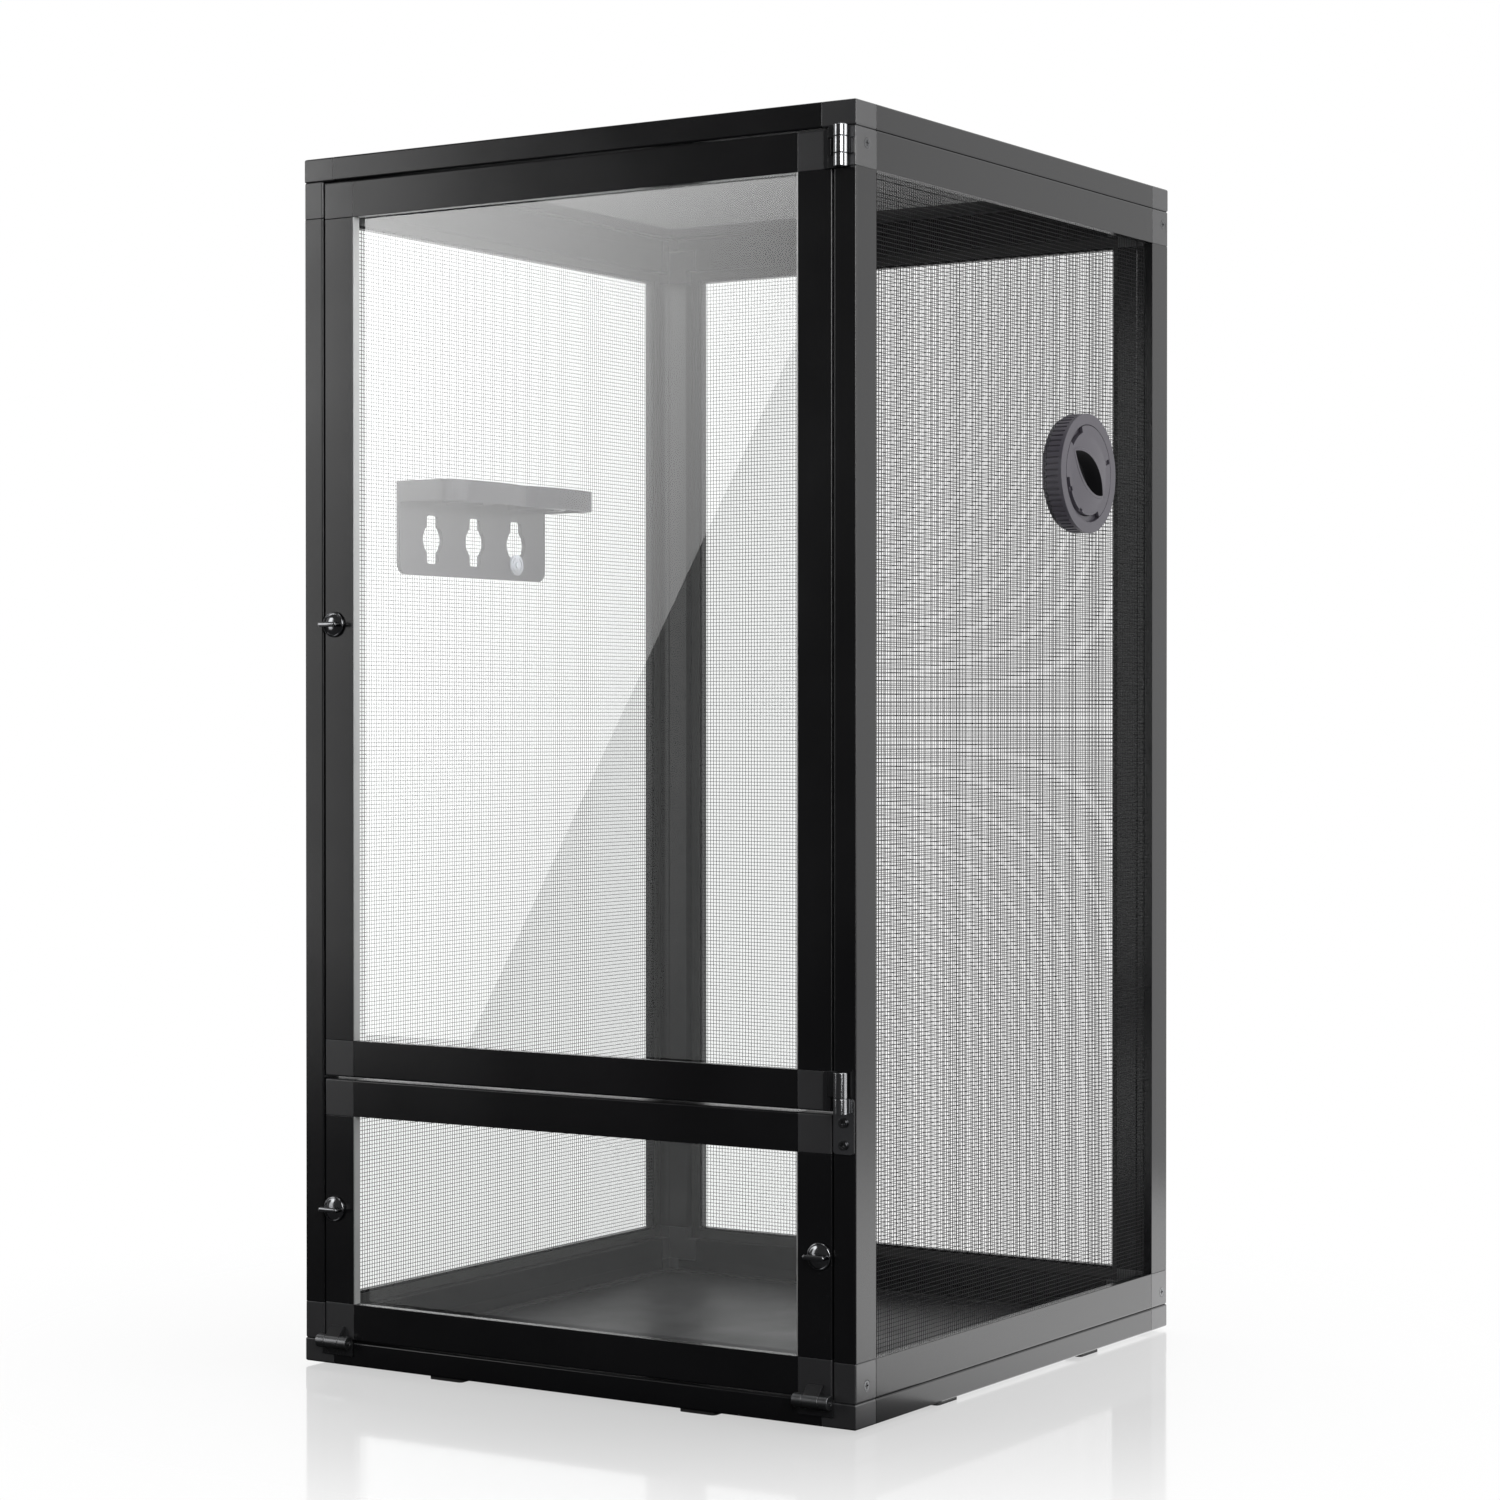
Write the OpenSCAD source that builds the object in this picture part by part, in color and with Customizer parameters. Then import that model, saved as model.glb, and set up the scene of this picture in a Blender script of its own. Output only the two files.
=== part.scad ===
// Knock-down screen cage for reptiles: aluminium frames, screen walls,
// two glazed doors at the front, a cable port and a hanging ledge inside.
// Millimetres. X runs to the right, the doors face -Y, Z is up. The origin is
// the middle of the cage's footprint, on the plane the feet stand on.

/* [Cage] */
// Width of the frame, left to right
cage_w = 406; // [386:1:446]
// Depth of the frame, front to back
cage_d = 406; // [386:1:446]
// Height of the cage on its feet
cage_h = 762; // [742:1:842]
// Height of the rubber feet
foot_h = 2; // [1:0.5:4]
// Distance of the feet from the cage's corners
foot_in = 110; // [60:1:140]

/* [Frame section] */
// Width of the hollow tube, and depth of every frame
tube_w = 15; // [14.5:0.5:16]
// Width of the flange beside the tube
flange_w = 8; // [7.6:0.1:9]
// Wall thickness of the aluminium
wall = 1.2; // [1:0.1:1.4]
// Depth from the outer face to the screen, sheet or pane
setback = 5.6; // [5:0.2:6.2]
// Width of the groove that takes the spline
groove_w = 3.8; // [3.4:0.1:4]
// Radius of the frame's outer edges
edge_r = 1.2; // [0.4:0.1:1.6]
// Length of the corner connectors' plug arms
plug_l = 16; // [10:1:24]

/* [Infill] */
// Thickness of the screen
mesh_t = 0.6; // [0.4:0.1:0.8]
// Pitch of the screen's main strands
mesh_pitch = 30; // [28:1:40]
// Width of the screen's main strands
mesh_strand = 1.6; // [1:0.1:2]
// Thickness of the door panes
pane_t = 3; // [2:0.5:4]
// Thickness of the floor sheet
sheet_t = 1; // [0.6:0.2:2]
// Thickness of the spline's flat head
spline_t = 1.2; // [0.8:0.1:1.6]

/* [Doors] */
// Height of the lower door
low_door_h = 164; // [150:1:190]
// Gap from the doors to the sides, the top and the base
door_clear = 1; // [0.8:0.1:1.4]
// Distance of the hinge axes in front of the frame
hinge_out = 4.5; // [4.5:0.1:4.8]
// Radius of the hinge barrels
barrel_r = 4.2; // [3.8:0.1:4.2]
// Radius of the hinge pins
pin_r = 1.5; // [1.2:0.1:1.7]
// Length of each hinge barrel
barrel_l = 24; // [20:1:30]

/* [Knobs] */
// Distance of the knob shafts from the door's edge
knob_in = 8; // [7.5:0.1:8.4]
// Height of the upper door's knob above the ground
knob_high = 468; // [300:3:600]
// Height of the lower door's knobs above the ground
knob_low = 100; // [85:1:110]
// Diameter of the knob's round base
knob_d = 16; // [13:0.5:17]
// Length of the knob's grip
grip_l = 16; // [12:0.5:18]

/* [Cable port] */
// Diameter of the port's knurled ring
port_d = 76; // [72:1:84]
// Height of the port's centre above the ground
port_z = 565; // [400:5:620]
// Distance of the port's centre behind the front
port_y = 280; // [150:5:290]
// Number of grooves round the ring
knurls = 60; // [36:2:66]

/* [Ledge] */
// Length of the ledge along the wall
ledge_l = 161; // [150:1:175]
// Distance of the ledge's near end behind the front
ledge_y = 86; // [60:1:120]
// Height of the ledge's top above the ground
ledge_z = 564; // [420:2:600]
// Height of the ledge's back plate
ledge_h = 61; // [58:1:75]
// Depth of the ledge's shelf
shelf_d = 48; // [44:1:60]
// Diameter of the cup holes
cup_d = 34; // [24:1:35]

/* [Hidden] */
$fn = 48;

// Clearances
loose = 0.3;      // between bodies that move past each other
fit = 0.1;        // round screws and pegs
running = 0.05;   // radial, round hinge pins
shaft_fit = 0.08; // radial, round knob shafts
plug_fit = 0.2;   // round the plug arms

// Colours
frame_black = "#26272a";
moulded_black = "#333438";
screen_grey = "#55565a";
rubber_black = "#1b1b1c";
sheet_black = "#202124";
dark_chrome = "#8c8e92";
port_grey = "#7d7985";
ledge_black = "#2c2a33";

// The frame section, seen along a bar
frame_w = tube_w + flange_w;
frame_t = tube_w;
fin_u = tube_w + groove_w;
fin_w = 1;
lip_w = 1.2;
infill_u = fin_u + 0.2;
plug_t = tube_w - 2 * wall - 2 * plug_fit;

// Levels of the stacked frames
half_w = cage_w / 2;
half_d = cage_d / 2;
side_z = foot_h + frame_t;
top_z = cage_h - frame_t;
side_h = top_z - side_z;
back_w = cage_w - 2 * frame_t;

// The doors. The lower one's inner top edge rises as it starts to swing,
// and the gap above it leaves room for that.
door_w = back_w - 2 * door_clear;
low_door_z = side_z + door_clear;
swing_r = sqrt(pow(frame_t + hinge_out, 2) + pow(low_door_h + door_clear, 2));
door_gap = swing_r - low_door_h - door_clear + 0.45;
up_door_z = low_door_z + low_door_h + door_gap;
up_door_h = top_z - door_clear - up_door_z;
knob_x = door_w / 2 - knob_in;

// Panel screws and dowels
screw_up = 9;
screw_head_r = 3.2;
screw_r = 1.75;
front_screw_in = 12.5;
rear_screw_l = 28;
front_screw_l = 13;
dowel_r = 3;
dowel_l = 24;
rear_dowel_in = 16.5;

// Hinges
leaf_t = 1.2;
leaf_w = 5.4;
axis_x = half_w - frame_t / 2;
axis_y = -half_d - hinge_out;
knuckle_gap = 0.2;
low_axis_z = side_z;
low_hinge_in = 10.5;
low_hinge_x = door_w / 2 - low_hinge_in;
low_leaf_h = 8.5;
low_leaf_foot = 0.2;
low_brow_out = 2.1;
low_brow_up = 2.6;
low_peg_up = 5;
base_leaf_h = 9;
base_strip_h = 5.6;
base_peg_in = 9.5;
base_peg_down = 6.2;
mid_plate_h = 23.5;
mid_hinge_z = up_door_z - 0.6;
mid_fixed_l = 9;
mid_moving_l = 14.8;

// Port
ring_depth = 11;
sleeve_r = 31;
bore_r = 27;
flange_t = 3;
flange_in = 2;
sleeve_l = 10.5;
socket_depth = 7.1;
seat_depth = 2.8;
knurl_w = 1.4;
knurl_depth = 1.2;
knurl_l = 8.4;
cap_t = 2.5;
cap_rise = 1.6;
lip_rise = 0.4;
lens_l = 46;
lens_w = 19;
lens_lip = 2;
lens_turn = -35;
cup_depth = 10;
cup_floor = 1.6;
mesh_out = half_w - setback;
mesh_in = mesh_out - mesh_t;
port_local_x = cage_d - port_y;
port_local_y = port_z - side_z;

// Ledge
plate_t = 3;
rim_h = 14;
rim_t = 2.4;
deck_t = 2.6;
slot_h = 32;
slot_w = 7.5;
bulge_d = 14;
ledge_in = setback + mesh_t;
fixing_x = ledge_y + ledge_l * 127 / 161;
fixing_y = ledge_z - side_z - 50.5;

// Flat frames are drawn lying down: width along x, height along y, outer
// face at z = 0 and thickness upwards. These stand them in their places.
module on_base() translate([-half_w, -half_d, foot_h]) children();
module on_top() translate([-half_w, half_d, cage_h]) rotate([180, 0, 0]) children();
module on_left() translate([-half_w, -half_d, side_z]) rotate([90, 0, 90]) children();
module on_right() translate([half_w, half_d, side_z]) rotate([90, 0, -90]) children();
module on_back() translate([-back_w / 2, half_d, side_z]) rotate([90, 0, 0]) children();
module on_upper_door() translate([door_w / 2, -half_d, up_door_z]) rotate([90, 0, 180]) children();
module on_lower_door() translate([door_w / 2, -half_d, low_door_z]) rotate([90, 0, 180]) children();

// A rectangle with its two outer edges rounded
module edged(w) {
  translate([edge_r, 0]) square([w - edge_r, frame_t]);
  translate([0, edge_r]) square([edge_r + 0.01, frame_t - 2 * edge_r]);
  translate([edge_r, edge_r]) circle(edge_r);
  translate([edge_r, frame_t - edge_r]) circle(edge_r);
}

// The extrusion: hollow tube, flange, spline groove, fin and lip
module section() {
  difference() {
    union() {
      edged(tube_w);
      translate([tube_w - wall, 0]) square([flange_w + wall, wall]);
      translate([fin_u, 0]) square([fin_w, setback]);
      translate([frame_w - lip_w, 0]) square([lip_w, setback]);
    }
    translate([wall, wall]) square([tube_w - 2 * wall, frame_t - 2 * wall]);
  }
}

module bar(length) rotate([90, 0, 90]) linear_extrude(length) section();

module rails(w, h) {
  translate([frame_w, 0, 0]) bar(w - 2 * frame_w);
  translate([w - frame_w, h, 0]) rotate(180) bar(w - 2 * frame_w);
}

module stiles(w, h) {
  translate([0, h - frame_w, 0]) rotate(-90) bar(h - 2 * frame_w);
  translate([w, frame_w, 0]) rotate(90) bar(h - 2 * frame_w);
}

// A moulded corner: an L as thick as the tube, a thinner seat for the
// infill's corner, and two plug arms with a narrower lead-in
module corner() {
  difference() {
    intersection() {
      rotate([90, 0, 90]) linear_extrude(frame_w) edged(frame_w);
      translate([0, frame_w, 0]) rotate([90, 0, 0]) linear_extrude(frame_w) edged(frame_w);
    }
    translate([tube_w, tube_w, setback]) cube([frame_w, frame_w, frame_t]);
  }
  arm();
  mirror([1, -1, 0]) arm();
}

module arm() {
  inset = wall + plug_fit;
  lead = 3;
  translate([frame_w - 4, inset, inset]) cube([4 + plug_l - lead, plug_t, plug_t]);
  translate([frame_w, inset + 0.8, inset + 0.8])
    cube([plug_l, plug_t - 1.6, plug_t - 1.6]);
}

module corners(w, h) {
  corner();
  translate([w, 0, 0]) rotate(90) corner();
  translate([w, h, 0]) rotate(180) corner();
  translate([0, h, 0]) rotate(270) corner();
}

module infill(w, h, t) {
  translate([infill_u, infill_u, setback]) cube([w - 2 * infill_u, h - 2 * infill_u, t]);
}

module screen_outline(w, h) {
  nx = round((w - 2 * frame_w) / mesh_pitch);
  ny = round((h - 2 * frame_w) / mesh_pitch);
  px = (w - 2 * frame_w + mesh_strand) / nx;
  py = (h - 2 * frame_w + mesh_strand) / ny;
  difference() {
    translate([infill_u, infill_u]) square([w - 2 * infill_u, h - 2 * infill_u]);
    for (i = [0 : nx - 1], j = [0 : ny - 1])
      translate([frame_w + i * px, frame_w + j * py])
        square([px - mesh_strand, py - mesh_strand]);
  }
}

module screen(w, h) translate([0, 0, setback]) linear_extrude(mesh_t) screen_outline(w, h);

// The spline: a flat head round the infill's edge, and a stem pressed into
// each straight groove between the corners
module spline(w, h, t) {
  head_in = tube_w + 0.2;
  head_w = frame_w - 1.7 - head_in;
  stem_w = groove_w - 0.4;
  stem_z = wall + 0.3;
  top = setback + t;
  translate([0, 0, top]) linear_extrude(spline_t) difference() {
    translate([head_in, head_in]) square([w - 2 * head_in, h - 2 * head_in]);
    translate([head_in + head_w, head_in + head_w])
      square([w - 2 * head_in - 2 * head_w, h - 2 * head_in - 2 * head_w]);
  }
  for (y = [head_in, h - head_in - stem_w])
    translate([frame_w + 0.2, y, stem_z])
      cube([w - 2 * frame_w - 0.4, stem_w, top + spline_t - stem_z]);
  for (x = [head_in, w - head_in - stem_w])
    translate([x, frame_w + 0.2, stem_z])
      cube([stem_w, h - 2 * frame_w - 0.4, top + spline_t - stem_z]);
}

// Both sides of the cage, with side -1 the left and 1 the right
module both_sides() {
  children();
  mirror([1, 0, 0]) children();
}

// A countersunk screw along -X from the outer face, with its head at the
// origin. The hole's shank is wider than the screw's by the fit.
module countersunk(length, grow) {
  rotate([0, -90, 0]) {
    cylinder(h = screw_head_r - screw_r, r1 = screw_head_r, r2 = screw_r);
    cylinder(h = length + grow * 3, r = screw_r + grow);
  }
}

module panel_screw_set(grow) {
  both_sides() for (z = [side_z + screw_up, top_z - screw_up]) {
    translate([half_w, -half_d + front_screw_in, z]) countersunk(front_screw_l, grow);
    translate([half_w, half_d - frame_t / 2, z]) countersunk(rear_screw_l, grow);
  }
}

module dowel_set(grow) {
  both_sides() for (z = [side_z, top_z], y = [-half_d + front_screw_in, half_d - rear_dowel_in])
    translate([axis_x, y, z - dowel_l / 2 - grow])
      cylinder(h = dowel_l + 2 * grow, r = dowel_r + grow);
}

module cage_holes() {
  panel_screw_set(fit);
  dowel_set(fit / 2);
}

// Pegs and screws that hold the hinge leaves on the frames
peg_r = 1.5;
peg_l = 7;

module peg(grow) rotate([-90, 0, 0]) cylinder(h = peg_l + grow, r = peg_r + grow);

module cross_recess(r) {
  cube([0.8, 2 * r, 1.6], center = true);
  cube([2 * r, 0.8, 1.6], center = true);
}

module rounded(w, d, r) {
  translate([r, 0]) square([w - 2 * r, d]);
  translate([0, r]) square([w, d - 2 * r]);
  for (x = [r, w - r], y = [r, d - r]) translate([x, y]) circle(r);
}

// Base frame, floor and feet

module base_front_back_rails() color(frame_black) on_base() rails(cage_w, cage_d);

module base_side_rails() color(frame_black) on_base() stiles(cage_w, cage_d);

module base_corners() color(moulded_black) difference() {
  on_base() corners(cage_w, cage_d);
  cage_holes();
  both_sides() base_peg() peg(fit);
}

module floor_sheet() color(sheet_black) on_base() infill(cage_w, cage_d, sheet_t);

module floor_spline() color(rubber_black) on_base() spline(cage_w, cage_d, sheet_t);

module feet() color(rubber_black) {
  l = 25;
  w = tube_w - 2 * edge_r - 0.4;
  for (x = [-1, 1], y = [-1, 1]) {
    translate([x * (half_w - foot_in) - l / 2, y * (half_d - tube_w / 2) - w / 2, 0])
      linear_extrude(foot_h) rounded(l, w, 2.5);
    translate([x * (half_w - tube_w / 2) - w / 2, y * (half_d - foot_in) - l / 2, 0])
      linear_extrude(foot_h) rounded(w, l, 2.5);
  }
}

// Side panels

module left_rails() color(frame_black) on_left() rails(cage_d, side_h);

module left_stiles() color(frame_black) on_left() stiles(cage_d, side_h);

module left_corners() color(moulded_black) difference() {
  on_left() corners(cage_d, side_h);
  cage_holes();
}

module left_mesh() color(screen_grey) on_left() difference() {
  screen(cage_d, side_h);
  translate([fixing_x, fixing_y, 0]) cylinder(h = frame_t, r = peg_r + fit);
}

module left_spline() color(rubber_black) on_left() spline(cage_d, side_h, mesh_t);

module right_rails() color(frame_black) on_right() rails(cage_d, side_h);

module right_stiles() color(frame_black) difference() {
  on_right() stiles(cage_d, side_h);
  middle_screws(running);
}

module right_corners() color(moulded_black) difference() {
  on_right() corners(cage_d, side_h);
  cage_holes();
  top_hinge_peg() peg(fit);
}

// The right screen is closed round the port, with a hole for its sleeve
module right_mesh() color(screen_grey)
  on_right() translate([0, 0, setback]) linear_extrude(mesh_t) difference() {
    union() {
      screen_outline(cage_d, side_h);
      translate([port_local_x, port_local_y]) circle(port_d / 2 - 2);
    }
    translate([port_local_x, port_local_y]) circle(sleeve_r + fit);
  }

module right_spline() color(rubber_black) on_right() spline(cage_d, side_h, mesh_t);

// Rear panel, held between the side panels

module back_rails() color(frame_black) on_back() rails(back_w, side_h);

module back_stiles() color(frame_black) on_back() stiles(back_w, side_h);

module back_corners() color(moulded_black) difference() {
  on_back() corners(back_w, side_h);
  cage_holes();
}

module back_mesh() color(screen_grey) on_back() screen(back_w, side_h);

module back_spline() color(rubber_black) on_back() spline(back_w, side_h, mesh_t);

// Top frame

module top_front_back_rails() color(frame_black) on_top() rails(cage_w, cage_d);

module top_side_rails() color(frame_black) on_top() stiles(cage_w, cage_d);

module top_corners() color(moulded_black) difference() {
  on_top() corners(cage_w, cage_d);
  cage_holes();
}

module top_mesh() color(screen_grey) on_top() screen(cage_w, cage_d);

module top_spline() color(rubber_black) on_top() spline(cage_w, cage_d, mesh_t);

// Screws and dowels. The front screws pass through the front dowels.

module panel_screws() color("#9a9ca0") difference() {
  panel_screw_set(0);
  both_sides() for (y = [-half_d + front_screw_in, half_d - frame_t / 2])
    for (z = [side_z + screw_up, top_z - screw_up])
      translate([half_w, y, z]) rotate([0, 90, 0]) cross_recess(1.7);
}

module frame_dowels() color("#9a9ca0") difference() {
  dowel_set(0);
  panel_screw_set(fit);
}

// Cable port on the right screen, drawn with X to the rear and Z outwards

module at_port() translate([0, port_y - half_d, port_z]) rotate([90, 0, 90]) children();

module port_flange() color(port_grey) at_port() difference() {
  union() {
    translate([0, 0, mesh_in - flange_t]) cylinder(h = flange_t, r = port_d / 2 - flange_in);
    translate([0, 0, mesh_in - flange_t]) cylinder(h = sleeve_l, r = sleeve_r);
  }
  translate([0, 0, mesh_in - flange_t - 1]) cylinder(h = sleeve_l + 2, r = bore_r);
}

module port_ring() color(port_grey) at_port() difference() {
  translate([0, 0, mesh_out]) cylinder(h = ring_depth, r = port_d / 2);
  translate([0, 0, mesh_out - 1]) cylinder(h = socket_depth + 1, r = sleeve_r + running);
  translate([0, 0, mesh_out]) cylinder(h = ring_depth + 1, r = bore_r);
  translate([0, 0, mesh_out + ring_depth - seat_depth]) cylinder(h = seat_depth + 1, r = sleeve_r);
  for (i = [0 : knurls - 1])
    rotate(i * 360 / knurls)
      translate([port_d / 2 - knurl_depth, -knurl_w / 2, mesh_out - 1])
        cube([knurl_depth + 1, knurl_w, knurl_l + 1]);
}

module lens(length, width) {
  r = (length * length + width * width) / (4 * width);
  intersection() {
    translate([0, width / 2 - r]) circle(r, $fn = 120);
    translate([0, r - width / 2]) circle(r, $fn = 120);
  }
}

module sector(r, from, to) {
  n = 6;
  intersection() {
    circle(r);
    polygon(concat([[0, 0]], [for (i = [0 : n])
      1.2 * r * [cos(from + (to - from) * i / n), sin(from + (to - from) * i / n)]]));
  }
}

// A shallow round dome that rises from the level of the ring's face
module dome(r, rise) {
  steps = 8;
  big = (r * r + rise * rise) / (2 * rise);
  edge = asin(r / big);
  rotate_extrude() polygon(concat([[0, -1], [r, -1]], [for (i = [0 : steps - 1])
    [big * sin(edge * (1 - i / steps)), big * cos(edge * (1 - i / steps)) - big + rise]],
    [[0, rise]]));
}

// The turning cap: a domed disc with bayonet lugs, a skirt in the sleeve's
// bore, and a lens-shaped finger cup with raised lips
module port_cap() color(port_grey) at_port() {
  face = mesh_out + ring_depth;
  body_r = bore_r - loose;
  floor_z = face - cup_depth - cup_floor;
  difference() {
    union() {
      translate([0, 0, face - cap_t]) linear_extrude(cap_t) {
        circle(body_r);
        sector(sleeve_r - loose - 0.1, -62, 108);
        sector(sleeve_r - loose - 0.1, 142, 188);
      }
      translate([0, 0, face]) dome(body_r - 1.5, cap_rise);
      difference() {
        translate([0, 0, mesh_in - 2]) cylinder(h = face - mesh_in, r = body_r);
        translate([0, 0, mesh_in - 3]) cylinder(h = face - mesh_in + 1, r = body_r - 2);
      }
      intersection() {
        translate([0, 0, floor_z]) rotate(lens_turn)
          linear_extrude(face + cap_rise + lip_rise - floor_z)
            lens(lens_l + 2 * lens_lip, lens_w + 2 * lens_lip);
        union() {
          translate([0, 0, face]) dome(body_r - 0.5, cap_rise + lip_rise);
          translate([0, 0, floor_z]) cylinder(h = face - floor_z, r = body_r);
        }
      }
    }
    translate([0, 0, floor_z + cup_floor]) rotate(lens_turn)
      linear_extrude(ring_depth + 4) lens(lens_l, lens_w);
    for (a = [18, 205, 246])
      rotate(a) translate([body_r - 1.6, -1.5, face - 1.4]) cube([5, 3, 3]);
  }
}

// Hanging ledge inside the left screen, and its fixing

lobe_sag = 4.5;
lobe_r = (pow(ledge_l / 4, 2) + pow(lobe_sag, 2)) / (2 * lobe_sag);
ledge_top = ledge_z - side_z;

module slot_outline() {
  for (y = [-1, 1]) translate([0, y * (slot_h - slot_w) / 2]) circle(slot_w / 2);
  square([slot_w, slot_h - slot_w], center = true);
  circle(bulge_d / 2);
}

module shelf_outline(inset) {
  r = 11 - inset;
  intersection() {
    for (s = [0.25, 0.75])
      translate([ledge_l * s, shelf_d - lobe_r]) circle(lobe_r - inset, $fn = 240);
    union() {
      translate([inset, 0]) square([ledge_l - 2 * inset, shelf_d - inset - r]);
      translate([inset + r, 0]) square([ledge_l - 2 * inset - 2 * r, shelf_d - inset]);
      for (x = [inset + r, ledge_l - inset - r]) translate([x, shelf_d - inset - r]) circle(r);
    }
  }
}

module ledge() color(ledge_black) on_left() {
  translate([ledge_y, ledge_top - ledge_h, ledge_in]) linear_extrude(plate_t) difference() {
    union() {
      rounded(ledge_l, ledge_h, 8);
      translate([0, ledge_h / 2]) square([ledge_l, ledge_h / 2]);
    }
    for (x = [35, 81, 127])
      translate([ledge_l * x / 161, ledge_h - 37]) slot_outline();
  }
  translate([ledge_y, ledge_top, ledge_in]) rotate([90, 0, 0]) difference() {
    union() {
      difference() {
        linear_extrude(rim_h) shelf_outline(0);
        translate([0, 0, deck_t]) linear_extrude(rim_h) shelf_outline(rim_t);
      }
      for (s = [0.25, 0.75])
        translate([ledge_l * s, shelf_d / 2 + 1, 0]) cylinder(h = rim_h, r = cup_d / 2 + rim_t);
    }
    for (s = [0.25, 0.75])
      translate([ledge_l * s, shelf_d / 2 + 1, -1]) cylinder(h = rim_h + 2, r = cup_d / 2);
  }
}

module ledge_fixing() color("#c9ccd6") on_left() translate([fixing_x, fixing_y, 0]) {
  translate([0, 0, ledge_in + plate_t]) {
    cylinder(h = 1.2, r = 7);
    cylinder(h = 2.4, r = 2.4);
    difference() {
      cylinder(h = 1.8, r = 5.4);
      cylinder(h = 3, r = 4.4);
    }
  }
  translate([0, 0, setback - 2]) cylinder(h = ledge_in + plate_t - setback + 3, r = peg_r);
  translate([0, 0, setback - 2]) cylinder(h = 2, r = 6);
}

// Hinges of the upper door: the axis stands in front of the right side

hinge_z = top_z - barrel_l;
seg_a = barrel_l * 0.31;
seg_b = barrel_l * 0.72;

module barrel_at(z0, z1, bore) translate([axis_x, axis_y, 0]) difference() {
  translate([0, 0, z0]) cylinder(h = z1 - z0, r = barrel_r);
  translate([0, 0, z0 - 1]) cylinder(h = z1 - z0 + 2, r = bore);
}

module tab(z0, z1) difference() {
  translate([axis_x, -half_d - leaf_t, z0]) cube([half_w - axis_x - 0.6, leaf_t, z1 - z0]);
  translate([axis_x, axis_y, z0 - 1]) cylinder(h = z1 - z0 + 2, r = pin_r);
}

module top_hinge_peg() translate([half_w - 3.4, -half_d, hinge_z + (seg_a + seg_b) / 2]) children();

module top_hinge_frame_leaf() color(dark_chrome) {
  barrel_at(hinge_z + seg_a + knuckle_gap, hinge_z + seg_b - knuckle_gap, pin_r);
  tab(hinge_z + seg_a + knuckle_gap, hinge_z + seg_b - knuckle_gap);
  top_hinge_peg() peg(0);
}

module middle_screws(grow) {
  for (z = [mid_hinge_z - 18.1, mid_hinge_z - 5.3])
    translate([axis_x, -half_d - leaf_t, z]) rotate([-90, 0, 0])
      cylinder(h = 10 + grow, r = peg_r + grow);
}

module middle_hinge_frame_leaf() color(dark_chrome) {
  z1 = mid_hinge_z + mid_fixed_l;
  barrel_at(mid_hinge_z, z1, pin_r);
  difference() {
    translate([half_w - frame_t + 0.4, -half_d, mid_hinge_z - mid_plate_h])
      rotate([90, 0, 0]) linear_extrude(leaf_t)
        rounded(frame_t - 1, mid_plate_h + mid_fixed_l, 2);
    middle_screws(running);
    translate([axis_x, axis_y, mid_hinge_z - 1]) cylinder(h = 20, r = pin_r);
  }
}

module middle_hinge_screws() color("#9a9ca0") {
  middle_screws(0);
  for (z = [mid_hinge_z - 18.1, mid_hinge_z - 5.3])
    translate([axis_x, -half_d - leaf_t, z]) rotate([90, 0, 0]) difference() {
      cylinder(h = 1.5, r = 2.8);
      translate([0, 0, 1.5]) cross_recess(1.6);
    }
}

module upper_hinge_pins() color(dark_chrome) translate([axis_x, axis_y, 0]) {
  translate([0, 0, hinge_z]) cylinder(h = barrel_l, r = pin_r);
  translate([0, 0, mid_hinge_z])
    cylinder(h = mid_fixed_l + knuckle_gap + mid_moving_l, r = pin_r);
}

// A moving leaf: strip on the door's face, web and barrel
module door_leaf(z0, z1) {
  translate([door_w / 2 - leaf_w, -half_d, z0]) rotate([90, 0, 0])
    linear_extrude(leaf_t) rounded(leaf_w, z1 - z0, 1.8);
  translate([door_w / 2 - leaf_w / 2, -half_d, z0 + 9]) peg(0);
}

module web(z0, z1) difference() {
  translate([door_w / 2 - 2, -half_d - loose - leaf_t, z0])
    cube([axis_x - door_w / 2 + 2, leaf_t, z1 - z0]);
  translate([axis_x, axis_y, z0 - 1]) cylinder(h = z1 - z0 + 2, r = pin_r + running);
}

module upper_door_hinge_leaves() color(dark_chrome) {
  low_z = mid_hinge_z + mid_fixed_l + knuckle_gap;
  for (s = [[hinge_z, hinge_z + seg_a], [hinge_z + seg_b, top_z], [low_z, low_z + mid_moving_l]]) {
    barrel_at(s[0], s[1], pin_r + running);
    web(s[0], s[1]);
  }
  door_leaf(hinge_z, top_z - door_clear - 0.4);
  door_leaf(up_door_z + 0.5, low_z + mid_moving_l);
}

// Hinges of the lower door: two barrels along X at the seam over the base

module low_barrel(x0, x1, bore) translate([x0, axis_y, low_axis_z]) rotate([0, 90, 0]) difference() {
  cylinder(h = x1 - x0, r = barrel_r);
  translate([0, 0, -1]) cylinder(h = x1 - x0 + 2, r = bore);
}

module base_peg()
  translate([low_hinge_x + base_peg_in, -half_d, low_axis_z - base_peg_down]) children();

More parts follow.
